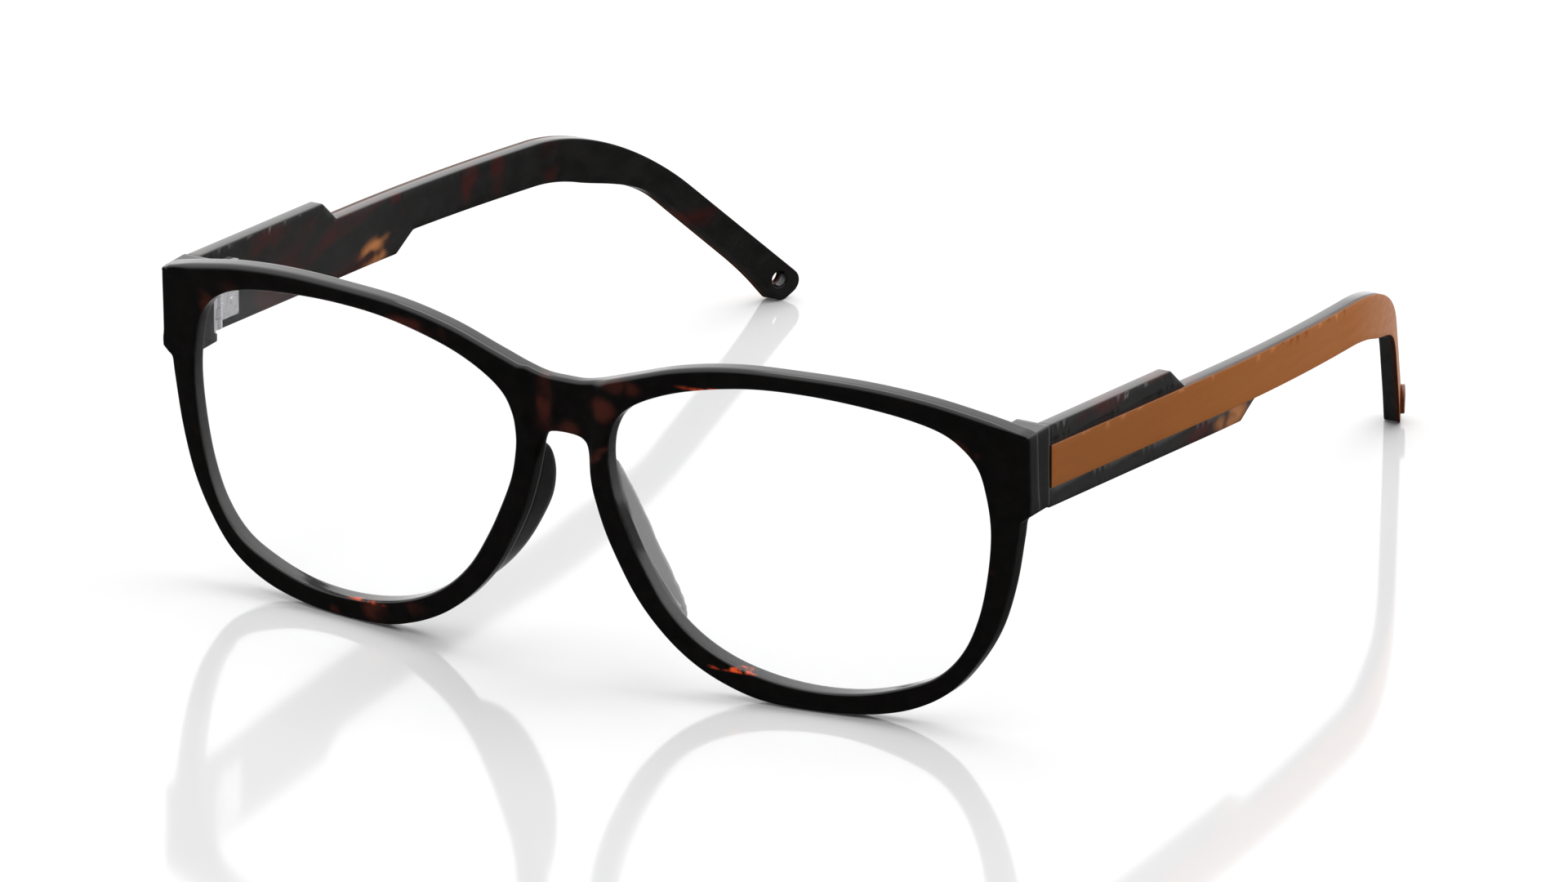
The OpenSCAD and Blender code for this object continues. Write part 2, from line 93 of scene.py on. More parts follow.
TOP_PTS = [(0, 44.9), (3, 45.0), (6.4, 45.8), (11, 47.3), (19, 49.8), (28, 51.3),
           (38, 51.6), (48, 51.3), (57, 50.2), (65, 48.4), (70.6, 46.8)]
SIDE_PTS = [(71.8, 46.2), (72, 45.4), (72, 40), (72, 34.6), (71.8, 33.9), (71.2, 33.4),
            (70.4, 32.6), (70, 30), (68.7, 22.6), (66.6, 15.6), (63.4, 9.8), (59.4, 5.2),
            (53.6, 2), (46.4, 0.4), (38.6, 0), (31.6, 0.4), (26.4, 1.8), (21.8, 3.9),
            (17.9, 6.6), (14.4, 10), (11.6, 13.6), (9.2, 17.8), (6.9, 22.7), (5.3, 27.6),
            (4.3, 31.8), (3.7, 34.6), (2.9, 35.7), (1.6, 36.1), (0, 36.2)]
EYE_PTS = [(7.6, 35), (7.8, 31.8), (8.6, 28), (10.4, 23.4), (12.8, 18.4), (16, 13.2),
           (20.2, 9.0), (25.6, 5.9), (32, 4.0), (39, 3.2), (46, 3.6), (52.6, 5.3), (58, 7.8),
           (61.8, 12), (64.2, 17.6), (65.6, 24.2), (66.2, 31), (65.6, 36.8), (64.2, 41.2),
           (60.9, 44.5), (55.8, 46.5), (48, 47.9), (39, 48.6), (30, 48.3), (21, 46.6),
           (14, 44.1), (10, 41.4), (8.2, 38.4)]
PAD_PTS = [(4.5, 32.2), (5.5, 27.8), (7.1, 22.9), (9.4, 18.1), (11.9, 13.9), (14.7, 10.5),
           (17.0, 8.7), (18.3, 8.7), (17.9, 10.2), (15.3, 13.8), (12.3, 18.6), (9.9, 23.6),
           (8.1, 28.4), (7.2, 32.2), (6.2, 33.7), (5.0, 33.7)]
PAD_SIDE = [(2, 7.6), (5.6, 8.6), (8.4, 10), (10.2, 12), (11.2, 15.5), (11.4, 19.5),
            (11.1, 23), (9.4, 27.4), (6.9, 31), (4.6, 33.2), (2, 34.4)]
PAD_LEAN = math.radians(18)
PAD_Y = 4.5


# ---------------------------------------------------------------- outline helpers
def catmull(a, b, c, d, t):
    """The point at t on the smooth curve from b to c, with a before and d after."""
    return 0.5 * (2 * b + (c - a) * t + (2 * a - 5 * b + 4 * c - d) * t * t
                  + (3 * b - a - 3 * c + d) * t ** 3)


def run(points, n):
    """A smooth open curve through the points, n steps to a span."""
    p = np.asarray(points, float)
    m = len(p) - 1
    out = [catmull(p[max(i - 1, 0)], p[i], p[i + 1], p[min(i + 2, m)], j / n)
           for i in range(m) for j in range(n)]
    return np.array(out + [p[m]])


def closed(points, n):
    """A smooth closed curve through the points, n steps to a span."""
    p = np.asarray(points, float)
    m = len(p)
    return np.array([catmull(p[i - 1], p[i], p[(i + 1) % m], p[(i + 2) % m], j / n)
                     for i in range(m) for j in range(n)])


def smooth(t):
    """0 below 0, 1 above 1 and an even S between."""
    t = np.clip(t, 0, 1)
    return t * t * (3 - 2 * t)


def grow(loop, d):
    """An anticlockwise loop moved outwards by d, which may differ from point to point."""
    t = np.roll(loop, -1, 0) - np.roll(loop, 1, 0)
    n = np.stack([t[:, 1], -t[:, 0]], 1) / np.linalg.norm(t, axis=1)[:, None]
    return loop + n * np.reshape(d, (-1, 1))


def area(loop):
    x, y = loop[:, 0], loop[:, 1]
    return 0.5 * np.sum(x * np.roll(y, -1) - y * np.roll(x, -1))


def anticlockwise(loop):
    return loop if area(loop) > 0 else loop[::-1].copy()


def fillet(points, radii, steps=6):
    """A closed polygon with its corners rounded to the radii; 0 leaves a corner sharp."""
    p = [np.array(q, float) for q in points]
    out = []
    for i, q in enumerate(p):
        r = radii[i]
        if not r:
            out.append(q)
            continue
        u, v = p[i - 1] - q, p[(i + 1) % len(p)] - q
        u, v = u / np.linalg.norm(u), v / np.linalg.norm(v)
        half = math.acos(max(-1, min(1, float(u @ v)))) / 2
        cut = r / math.tan(half)
        a, b = q + u * cut, q + v * cut
        for s in np.linspace(0, 1, steps + 1):
            out.append((1 - s) ** 2 * a + 2 * s * (1 - s) * q + s * s * b)
    return np.array(out)


def divide(loop, step):
    """Extra points on a closed loop's long sides."""
    out = []
    for i, a in enumerate(loop):
        b = loop[(i + 1) % len(loop)]
        n = max(1, math.ceil(np.linalg.norm(b - a) / step))
        out += [a + (b - a) * k / n for k in range(n)]
    return np.array(out)


def inside(points, loop):
    """Which points lie inside a closed loop."""
    x, y = points[:, 0][:, None], points[:, 1][:, None]
    a, b = loop, np.roll(loop, -1, 0)
    cross = (a[:, 1] > y) != (b[:, 1] > y)
    rise = np.where(b[:, 1] == a[:, 1], 1, b[:, 1] - a[:, 1])
    at = a[:, 0] + (y - a[:, 1]) * (b[:, 0] - a[:, 0]) / rise
    return np.sum(cross & (x < at), axis=1) % 2 == 1


def gap_to(points, loops):
    """Distance from each point to the nearest loop point."""
    every = np.concatenate(loops)
    best = np.full(len(points), np.inf)
    chunk = 200  # loop points at a time, to save memory
    for i in range(0, len(every), chunk):
        d = points[:, None, :] - every[None, i:i + chunk, :]
        best = np.minimum(best, np.sqrt((d ** 2).sum(2)).min(1))
    return best


def lattice(lo, hi, step):
    """A triangular lattice of points over a box."""
    rows = []
    row_gap = 0.866  # the height of a triangle with sides of 1
    for k, v in enumerate(np.arange(lo[1], hi[1], step * row_gap)):
        u = np.arange(lo[0] + (k % 2) * step / 2, hi[0], step)
        rows.append(np.stack([u, np.full(len(u), v)], 1))
    return np.concatenate(rows)


# ---------------------------------------------------------------- the plate builder
SAME = 1e-7  # points closer than this are one, in an outline's millimetres or a mesh's metres


def fill_face(outer, holes, extra, clear):
    """Triangles between the outer loop and its holes, using the extra points that lie inside
    and more than clear from the loops. Returns (points, triangles), the loops' points first."""
    loops = [outer] + holes
    pts = [np.asarray(loop) for loop in loops]
    if len(extra):
        keep = inside(extra, outer) & (gap_to(extra, loops) > clear)
        for h in holes:
            keep &= ~inside(extra, h)
        pts.append(extra[keep])
    flat = np.concatenate(pts)
    edges, base = [], 0
    for loop in loops:
        n = len(loop)
        edges += [(base + i, base + (i + 1) % n) for i in range(n)]
        base += n
    out, _, tris, origin, _, _ = delaunay_2d_cdt([Vector(p) for p in flat], edges, [], 0, SAME)
    back = [o[0] if o else int(np.argmin(((flat - np.array(out[k])) ** 2).sum(1)))
            for k, o in enumerate(origin)]
    tris = np.array([[back[i] for i in t] for t in tris if len(t) == 3])
    mid = flat[tris].mean(1)
    keep = inside(mid, outer)
    for h in holes:
        keep &= ~inside(mid, h)
    a, b, c = tris.T
    return flat, tris[keep & (a != b) & (b != c) & (a != c)]


def plate(outer, holes, place, radius, extra=((), ()), steps=5, rows=3, clear=0.35):
    """A plate with rounded edges. outer and holes are anticlockwise loops in the plate's own
    plane; place(points, side, depth) puts points that far below face 0 or face 1 into space;
    radius(points, side) is the rounding of the edge there; extra holds each face's inner
    points; steps go round an edge and rows between the edges. Returns (vertices, faces)."""
    verts, faces = [], []

    def add(points):
        first = sum(len(v) for v in verts)
        verts.append(points)
        return np.arange(first, first + len(points))

    inner = ([], [])
    for k, loop in enumerate([outer] + list(holes)):
        sign = -1 if k == 0 else 1
        edge = []
        for side in (0, 1):
            r = np.asarray(radius(loop, side), float)
            rings = []
            for s in range(steps + 1):
                a = math.pi / 2 * s / steps
                ring = grow(loop, sign * r * (1 - math.cos(a)))
                rings.append((ring, place(ring, side, r * (1 - math.sin(a)))))
            edge.append(rings)
        wall_0, wall_1 = edge[0][0][1], edge[1][0][1]
        chain = [add(xyz) for _, xyz in reversed(edge[0])]
        chain += [add(wall_0 + (wall_1 - wall_0) * s / rows) for s in range(1, rows)]
        chain += [add(xyz) for _, xyz in edge[1]]
        inner[0].append((edge[0][-1][0], chain[0]))
        inner[1].append((edge[1][-1][0], chain[-1]))
        n = len(loop)
        for p, q in zip(chain[:-1], chain[1:]):
            for i in range(n):
                j = (i + 1) % n
                quad = (p[i], p[j], q[j], q[i])
                faces.append(quad if k else quad[::-1])
    for side in (0, 1):
        loops = [ring for ring, _ in inner[side]]
        index = np.concatenate([i for _, i in inner[side]])
        points = np.asarray(extra[side]).reshape(-1, 2)
        flat, tris = fill_face(loops[0], loops[1:], points, clear)
        fresh = flat[len(index):]
        if len(fresh):
            index = np.concatenate([index, add(place(fresh, side, np.zeros(len(fresh))))])
        faces += [tuple(int(index[i]) for i in t) for t in tris]
    return np.concatenate(verts), faces


def even_radius(face_0, face_1):
    """A radius function for plate(): one rounding on each face's edge."""
    return lambda p, side: np.full(len(p), face_1 if side else face_0)


def to_frame(points):
    """Millimetre points as frame coordinates in metres."""
    p = np.array(points, float)
    p[:, 1] += SHIFT_Y
    return p * MM


def make_piece(name, verts, faces, mirrored=False):
    """A smooth-shaded mesh object from millimetre points, its faces turned outwards."""
    p = to_frame(verts)
    if mirrored:
        p[:, 0] *= -1
    mesh = bpy.data.meshes.new(name)
    mesh.from_pydata(p.tolist(), [], [tuple(int(i) for i in f) for f in faces])
    bm = bmesh.new()
    bm.from_mesh(mesh)
    bmesh.ops.remove_doubles(bm, verts=bm.verts, dist=SAME)
    loose = [v for v in bm.verts if not v.link_faces]
    bmesh.ops.delete(bm, geom=loose, context="VERTS")
    bmesh.ops.recalc_face_normals(bm, faces=bm.faces)
    for f in bm.faces:
        f.smooth = True
    bm.to_mesh(mesh)
    bm.free()
    obj = bpy.data.objects.new(name, mesh)
    bpy.context.scene.collection.objects.link(obj)
    return obj


# ---------------------------------------------------------------- front frame
def front_y(x, z, d):
    """Y of the front's curved and leaning surface, d behind its face."""
    bow = WRAP_R - np.sqrt((WRAP_R - d) ** 2 - x ** 2)
    return FACE_Y + bow * math.cos(LEAN) - (z - MID_Z - bow * math.sin(LEAN)) * math.tan(LEAN)


left_half = np.concatenate([run(TOP_PTS, 14), run(SIDE_PTS, 10)])
both_halves = np.concatenate([left_half, left_half[-2:0:-1] * [-1, 1]])
OUTLINE = grow(anticlockwise(both_halves), -CLEARANCE)
EYE = anticlockwise(closed(EYE_PTS, 14))
EYE_RIGHT = anticlockwise(EYE * [-1, 1])

SADDLE_DEPTH = 0.8
SADDLE_LOW, SADDLE_HALF, SADDLE_SPREAD = 36, 5.0, 0.15  # height, half width there and its growth
CREASE_RIGHT, CREASE_LEFT = 1.1, 3.0  # widths of the creases; the left one is soft
BRIDGE_X, BRIDGE_LOW, BRIDGE_TOP = 9.5, 33, 48  # where the face needs a finer mesh
EDGE_ROUND, BROW_ROUND, NOSE_ROUND = 0.45, 0.45, 0.9  # all round, and more at brow and bridge
LUG_X, LUG_LOW, LUG_TOP = 66.4, 33.6, 46.8
LUG_BOX = ((66, 33), (72, 47))
LUG_DROP = 0.6  # the block's top lies this far under the front's upper edge
SEAT_X, SEAT_LOW, SEAT_TOP = 69.35, 34.95, 43.45
SEAT_DEEP = 0.82
SEAT_STEP = 0.1  # width of the seat's edge


def step(v, at, width):
    """0 below at and 1 above it, over a width."""
    return smooth((v - at) / width + 0.5)


def saddle(x, z):
    """How far the bridge's face is set back, between its two creases."""
    edge = SADDLE_HALF + (z - SADDLE_LOW) * SADDLE_SPREAD
    crease = np.where(x > 0, CREASE_LEFT, CREASE_RIGHT)
    return SADDLE_DEPTH * smooth((edge - np.abs(x)) / crease + 0.5)


def front_place(p, side, h):
    x, z = p[:, 0], p[:, 1]
    if side == 0:
        y = front_y(x, z, 0) + saddle(x, z) + CLEARANCE + h
    else:
        y = front_y(x, z, FRONT_T) - CLEARANCE - h
    return np.stack([x, y, z], 1)


def front_radius(p, side):
    x, z = np.abs(p[:, 0]), p[:, 1]
    # less rounding at the small corner under each endpiece
    ease = 1 - 0.75 * smooth((x - 70.3) / 0.5) * smooth((36.5 - z) / 1.5)
    if side == 1:
        return EDGE_ROUND * ease
    # the face is rounder along the brow and under the bridge
    brow = smooth((z - 43) / 3) * smooth((70 - x) / 4)
    under = smooth((6 - x) / 3) * smooth((38 - z) / 2) * smooth((z - 30) / 4)
    return (EDGE_ROUND + BROW_ROUND * brow + NOSE_ROUND * under) * ease


def line(a, b, gap=0.35):
    """Points along the straight line from a to b."""
    a, b = np.array(a, float), np.array(b, float)
    n = max(2, int(np.linalg.norm(b - a) / gap) + 1)
    return a + (b - a) * np.linspace(0, 1, n)[:, None]


def build_front():
    coarse = lattice(*FRONT_BOX, COARSE)
    bridge = (np.abs(coarse[:, 0]) < BRIDGE_X) & (coarse[:, 1] > BRIDGE_LOW)
    fine = lattice((-BRIDGE_X, BRIDGE_LOW), (BRIDGE_X, BRIDGE_TOP), FINE_BRIDGE)
    face = np.concatenate([coarse[~bridge], fine])
    verts, faces = plate(OUTLINE, [EYE, EYE_RIGHT], front_place, front_radius,
                         (face, coarse), rows=4)
    return make_piece("acetate_front", verts, faces)


def lug_place(p, side, h):
    x, z = p[:, 0], p[:, 1]
    if side == 0:
        y = front_y(x, z, 1.0) + h
    else:
        seat = (step(-x, -SEAT_X, SEAT_STEP) * step(z, SEAT_LOW, SEAT_STEP)
                * step(-z, -SEAT_TOP, SEAT_STEP))
        y = JOINT_Y - CLEARANCE - SEAT_DEEP * seat - h
    return np.stack([x, y, z], 1)


def build_lug(name, mirrored):
    """The endpiece's block behind the front's corner, with the hinge leaf's seat in its end."""
    low, top = LUG_LOW + CLEARANCE, LUG_TOP - LUG_DROP
    x, z = OUTLINE.T
    # its outer side follows the front's outline, a hair inside it
    side = OUTLINE[(x > LUG_X) & (z > low + 0.1) & (z < top - 0.1)] - [0.02, 0]
    points = [(LUG_X, top), (LUG_X, low), (side[0][0], low), *side, (side[-1][0], top)]
    radii = [0.25, 0.25, 0.25] + [0] * len(side) + [0.15]
    loop = anticlockwise(divide(fillet(points, radii), 0.5))
    lip = SEAT_STEP / 2
    edges = [line((LUG_X + 0.4, at), (SEAT_X + lip, at))
             for at in (SEAT_LOW - lip, SEAT_LOW + lip, SEAT_TOP - lip, SEAT_TOP + lip)]
    edges += [line((at, SEAT_LOW + 0.3), (at, SEAT_TOP - 0.3))
              for at in (SEAT_X - lip, SEAT_X + lip)]
    grid = lattice(*LUG_BOX, 0.9)
    verts, faces = plate(loop, [], lug_place, even_radius(0.02, 0.14),
                         (grid, np.concatenate([grid] + edges)), steps=3, rows=8, clear=0.3)
    return make_piece(name, verts, faces, mirrored)


# ---------------------------------------------------------------- lenses and nose pads
LENS_GROOVE = 0.3  # how far the lens reaches into the rim


def lens_place(p, side, h):
    x, z = p[:, 0], p[:, 1]
    d = (FRONT_T - LENS_T) / 2 + h if side == 0 else (FRONT_T + LENS_T) / 2 - h
    return np.stack([x, front_y(x, z, d), z], 1)


def build_lens(name, mirrored):
    inner = lattice((0, 0), FRONT_BOX[1], 2.2)
    verts, faces = plate(grow(EYE, LENS_GROOVE), [], lens_place, even_radius(0.12, 0.12),
                         (inner, inner), steps=2, rows=2)
    return make_piece(name, verts, faces, mirrored)


PAD_FAR = run(PAD_SIDE, 8)  # the pad's rear edge as Y, Z points
PAD_LENS_SIDE = np.array(sorted(PAD_PTS[7:15], key=lambda q: q[1]), float)
PAD_BLEND = 0.8  # how softly its leaning face meets the rear edge
PAD_THIN = 0.35  # the least thickness
PAD_REACH = (18.03, 33.6)  # how far the CAD pad goes to the side and up


def pad_place(p, side, h):
    x, z = p[:, 0], p[:, 1]
    rim_back = front_y(x, z, FRONT_T + CLEARANCE)
    if side == 0:
        y = rim_back + h
    else:
        lens_x = np.interp(z, PAD_LENS_SIDE[:, 1], PAD_LENS_SIDE[:, 0])
        far = np.interp(z, PAD_FAR[:, 1], PAD_FAR[:, 0])
        lean = PAD_Y + np.maximum(lens_x - x, 0) / math.tan(PAD_LEAN)
        mix = np.clip(0.5 + 0.5 * (lean - far) / PAD_BLEND, 0, 1)
        y = lean * (1 - mix) + far * mix - PAD_BLEND * mix * (1 - mix)
        # the rounding shrinks where the pad is thin
        y = (np.maximum(y - 0.05, rim_back + PAD_THIN)
             - h * np.clip((y - rim_back) / 2, 0.2, 1))
    return np.stack([x, y, z], 1)


def build_pad(name, mirrored):
    rim = np.minimum(grow(anticlockwise(closed(PAD_PTS, 12)), -CLEARANCE), PAD_REACH)
    inner = lattice((4, 8), (19, 34), 0.4)
    verts, faces = plate(rim, [], pad_place, even_radius(0.05, 0.3), (inner, inner),
                         steps=4, rows=5, clear=0.2)
    return make_piece(name, verts, faces, mirrored)


# ---------------------------------------------------------------- temples
# side view: a straight arm, the ear bend and a straight tail whose lines cross at BEND_Y, BEND_Z
BEND_Y = ((ARM_Z + JOINT_Y * math.tan(ARM_SLOPE) - TIP_Z - TIP_Y * math.tan(TAIL_DIR)
           + EYELET_W / math.cos(TAIL_DIR)) / (math.tan(ARM_SLOPE) - math.tan(TAIL_DIR)))
BEND_Z = ARM_Z - (BEND_Y - JOINT_Y) * math.tan(ARM_SLOPE)
TURN = TAIL_DIR - ARM_SLOPE
BEND_LEN = BEND_R * math.tan(TURN / 2)
BEND_C = np.array([BEND_Y - BEND_LEN * math.cos(ARM_SLOPE) - BEND_R * math.sin(ARM_SLOPE),
                   BEND_Z + BEND_LEN * math.sin(ARM_SLOPE) - BEND_R * math.cos(ARM_SLOPE)])
HALF_W = ARM_W / 2 / math.cos(ARM_SLOPE)
UPPER_END = JOINT_Y + 39.4  # where the wide section ends above and below the strip
LOWER_END = JOINT_Y + 60.8
SLIM_FROM, SLIM_OVER = 0.35, 0.6  # the parts of the bend over which its underside slims
FLARE = [(7, 2.6), (4.5, 2.5), (2, 2.3), (0, 2.05)]  # distance from the eyelet, slimming left
GROOVE_W, GROOVE_SOFT = 2.95, 0.25  # half width under the strip, and width of the rise beside it
GROOVE_FADE, GROOVE_PAST = 0.5, 0.6  # how the rise ends behind the wide section
STRIP_SINK = 0.01  # the core stays this far under the strip
SQUARE_R, SQUARE_FADE = 1.95, 0.6  # round the eyelet, where the edges stand square to the face
NEAR_EYELET = 2
EYELET_ROUND, INNER_ROUND, OUTER_ROUND, WING_ROUND = 0.12, 0.2, 0.07, 0.11
STRIP_ROUND, STRIP_BACK_ROUND = 0.13, 0.05
TEMPLE_BOX, TIP_BOX = ((16, 0), (156, 47)), ((147, 0), (156, 8))


def arm_mid(y):
    """Height of the straight arm's centre line."""
    return ARM_Z - (y - JOINT_Y) * math.tan(ARM_SLOPE)


def tail_point(w, s):
    """The point w above the tail's centre line and s before the eyelet."""
    return np.array([TIP_Y - s * math.cos(TAIL_DIR) + (w - EYELET_W) * math.sin(TAIL_DIR),
                     TIP_Z + s * math.sin(TAIL_DIR) + (w - EYELET_W) * math.cos(TAIL_DIR)])


def bend_edge(w, n=60):
    """The arm's centre line moved up by w, round the bend and down to the tip."""
    out = []
    for i in range(n + 1):
        t = i / n
        a = ARM_SLOPE + TURN * t
        slim = TAIL_SLIM * float(smooth((t - SLIM_FROM) / SLIM_OVER)) if w < 0 else 0
        out.append(BEND_C + (BEND_R + w + slim) * np.array([math.sin(a), math.cos(a)]))
    if w < 0:
        out += [tail_point(q[1], q[0]) for q in run([(q[0], w + q[1]) for q in FLARE], 6)]
    return out


def corner_point(corner, a):
    """The point at angle a round one of the end's corners."""
    w, back, r = corner
    return tail_point(EYELET_W + w, back) + r * np.array([math.sin(a), math.cos(a)])


def tip_arc():
    """The end's outline: round the upper corner, then the lower one."""
    last = math.radians(185)  # a little past half a turn, to meet the flare
    return ([corner_point(TOP_CORNER, TAIL_DIR + a) for a in np.linspace(0, END_TURN, 18)]
            + [corner_point(LOW_CORNER, TAIL_DIR + a) for a in np.linspace(END_TURN, last, 14)])


def arm_loop(front, front_radii):
    """The side outline of a temple layer: its front part, then the arm, bend and tip."""
    half = ARM_W / 2
    upper, lower = front
    rest = bend_edge(half) + tip_arc() + bend_edge(-half)[::-1]
    points = upper + rest + lower
    radii = front_radii[0] + [0] * len(rest) + front_radii[1]
    return anticlockwise(divide(fillet(points, radii), 0.7))


# the core's front part has two wings, which step down to the arm above and below the strip
CORE_LOOP = arm_loop(([(START_Y, ARM_Z + 6.3), (JOINT_Y + 35.4, ARM_Z + 3.4),
                       (UPPER_END, arm_mid(UPPER_END) + HALF_W)],
                      [(LOWER_END, arm_mid(LOWER_END) - HALF_W), (JOINT_Y + 56.2, ARM_Z - 11.0),
                       (START_Y, ARM_Z - 6.4)]), ([0.3, 1.1, 1.4], [1.4, 1.1, 0.3]))
STRIP_LOOP = arm_loop(([(START_Y, arm_mid(START_Y) + HALF_W)],
                       [(START_Y, arm_mid(START_Y) - HALF_W)]), ([0.3], [0.3]))

# plan view of the temple's inner face: straight, a slight arc, then in behind the ear
IN_A, IN_B = math.radians(5.5), math.radians(27)
ARC1_Y, ARC1_R, ARC2_R = JOINT_Y + 46, 430.0, 80.0
BETWEEN_ARCS = 3.8
ARC1_END = np.array([INNER_X - ARC1_R * (1 - math.cos(IN_A)), ARC1_Y + ARC1_R * math.sin(IN_A)])
ARC2_START = ARC1_END + BETWEEN_ARCS * np.array([-math.sin(IN_A), math.cos(IN_A)])
ARC2_C = ARC2_START - ARC2_R * np.array([math.cos(IN_A), math.sin(IN_A)])


def temple_x(y, d):
    """X of the layer that lies d outside the temple's inner face, at each y."""
    y, d = np.broadcast_arrays(np.asarray(y, float), np.asarray(d, float))
    r1, r2 = ARC1_R + d, ARC2_R + d
    c1 = INNER_X - ARC1_R
    arc1 = c1 + np.sqrt(np.maximum(r1 ** 2 - (y - ARC1_Y) ** 2, 0))
    y1 = ARC1_Y + r1 * math.sin(IN_A)
    line1 = c1 + r1 * math.cos(IN_A) - (y - y1) * math.tan(IN_A)
    y2 = ARC2_C[1] + r2 * math.sin(IN_A)
    arc2 = ARC2_C[0] + np.sqrt(np.maximum(r2 ** 2 - (y - ARC2_C[1]) ** 2, 0))
    y3 = ARC2_C[1] + r2 * math.sin(IN_B)
    line2 = ARC2_C[0] + r2 * math.cos(IN_B) - (y - y3) * math.tan(IN_B)
    return np.select([y < ARC1_Y, y < y1, y < y2, y < y3],
                     [INNER_X + d, arc1, line1, arc2], line2)


def above_mid(p):
    """Signed distance above the straight arm's centre line."""
    return (p[:, 1] - arm_mid(p[:, 0])) * math.cos(ARM_SLOPE)


def from_eyelet(p):
    """Distance from the eyelet's axis in side view."""
    return np.hypot(p[:, 0] - TIP_Y, p[:, 1] - TIP_Z)


def temple_point(p, d):
    """A side-view point on the layer at depth d; near the eyelet it moves square to the face."""
    y, z = p[:, 0], p[:, 1]
    y = y + d * math.sin(IN_B) * smooth((SQUARE_R - from_eyelet(p)) / SQUARE_FADE)
    return np.stack([temple_x(y, d), y, z], 1)


def over_wide_part(p, fade, past=0.0):
    """1 over the wide section, falling to 0 over a fade that stops past the section's end."""
    end = np.where(above_mid(p) > 0, UPPER_END, LOWER_END)
    return smooth((end + past - p[:, 0]) / fade)


def core_depth(p):
    """Outer face of the acetate core: proud beside the strip, lower under it and behind it."""
    beside = smooth((np.abs(above_mid(p)) - GROOVE_W) / GROOVE_SOFT)
    section = over_wide_part(p, GROOVE_FADE, GROOVE_PAST)
    return SEAT_D - STRIP_SINK + (CORE_T - SEAT_D) * beside * section


def core_place(p, side, h):
    return temple_point(p, CLEARANCE + h if side == 0 else core_depth(p) - h)


def core_radius(p, side):
    if side == 0:
        return np.where(from_eyelet(p) < NEAR_EYELET, EYELET_ROUND, INNER_ROUND)
    return OUTER_ROUND + WING_ROUND * over_wide_part(p, 2)


def strip_place(p, side, h):
    return temple_point(p, SEAT_D + h if side == 0 else TOP_D - CLEARANCE - h)


def strip_radius(p, side):
    if side == 0:
        return np.full(len(p), STRIP_BACK_ROUND)
    return np.where(from_eyelet(p) < NEAR_EYELET, EYELET_ROUND, STRIP_ROUND)


def eyelet_loop():
    """The eyelet's hole in side view, where its slant makes it narrower."""
    a = np.linspace(0, 2 * math.pi, 48, endpoint=False)
    return np.stack([TIP_Y + EYELET_R * math.cos(IN_B) * np.cos(a),
                     TIP_Z + EYELET_R * np.sin(a)], 1)


TEMPLE_GRID = np.concatenate([lattice(*TEMPLE_BOX, COARSE), lattice(*TIP_BOX, FINE_TIP)])


def build_temple(name, mirrored):
    """The acetate core, with a row of points on each line where its outer face changes depth."""
    rises = []
    for w in (GROOVE_W, 3.08, GROOVE_W + GROOVE_SOFT):
        for sign, end in ((1, UPPER_END + 1), (-1, LOWER_END + 1)):
            y = np.arange(START_Y, end, 0.5)
            rises.append(np.stack([y, arm_mid(y) + sign * w / math.cos(ARM_SLOPE)], 1))
    verts, faces = plate(grow(CORE_LOOP, -CLEARANCE), [eyelet_loop()], core_place, core_radius,
                         (TEMPLE_GRID, np.concatenate([TEMPLE_GRID] + rises)),
                         steps=4, rows=2, clear=0.12)
    return make_piece(name, verts, faces, mirrored)


def build_strip(name, mirrored):
    verts, faces = plate(grow(STRIP_LOOP, -CLEARANCE), [eyelet_loop()], strip_place,
                         strip_radius, (TEMPLE_GRID, TEMPLE_GRID), steps=4, rows=2, clear=0.2)
    return make_piece(name, verts, faces, mirrored)


def build_collar(name, mirrored):
    """The raised ring round the eyelet on the strip's face, turned about the eyelet's axis."""
    top, foot = TOP_D + COLLAR_H - CLEARANCE, TOP_D - 0.12
    bore, rim, edge = EYELET_R + 0.02, COLLAR_R - CLEARANCE, 0.16
    profile = [(bore, foot), (bore, top - edge)]
    profile += [(bore + edge * (1 - math.cos(a)), top - edge * (1 - math.sin(a)))
                for a in np.linspace(0.3, math.pi / 2, 5)]
    profile += [(rim - edge * (1 - math.sin(a)), top - edge * (1 - math.cos(a)))
                for a in np.linspace(0, math.pi / 2, 6)]
    profile += [(rim, foot)]
    out = np.array([math.cos(IN_B), math.sin(IN_B), 0])
    back = np.array([-math.sin(IN_B), math.cos(IN_B), 0])
    up = np.array([0.0, 0.0, 1.0])
    base = np.array([float(temple_x(TIP_Y, 0)), TIP_Y, TIP_Z])
    m, n = len(profile), 72
    verts = [base + d * out + r * (math.cos(a) * back + math.sin(a) * up)
             for a in 2 * math.pi * np.arange(n) / n for r, d in profile]
    faces = [(i * m + k, i * m + (k + 1) % m,
              (i + 1) % n * m + (k + 1) % m, (i + 1) % n * m + k)
             for i in range(n) for k in range(m)]
    return make_piece(name, np.array(verts), faces, mirrored)


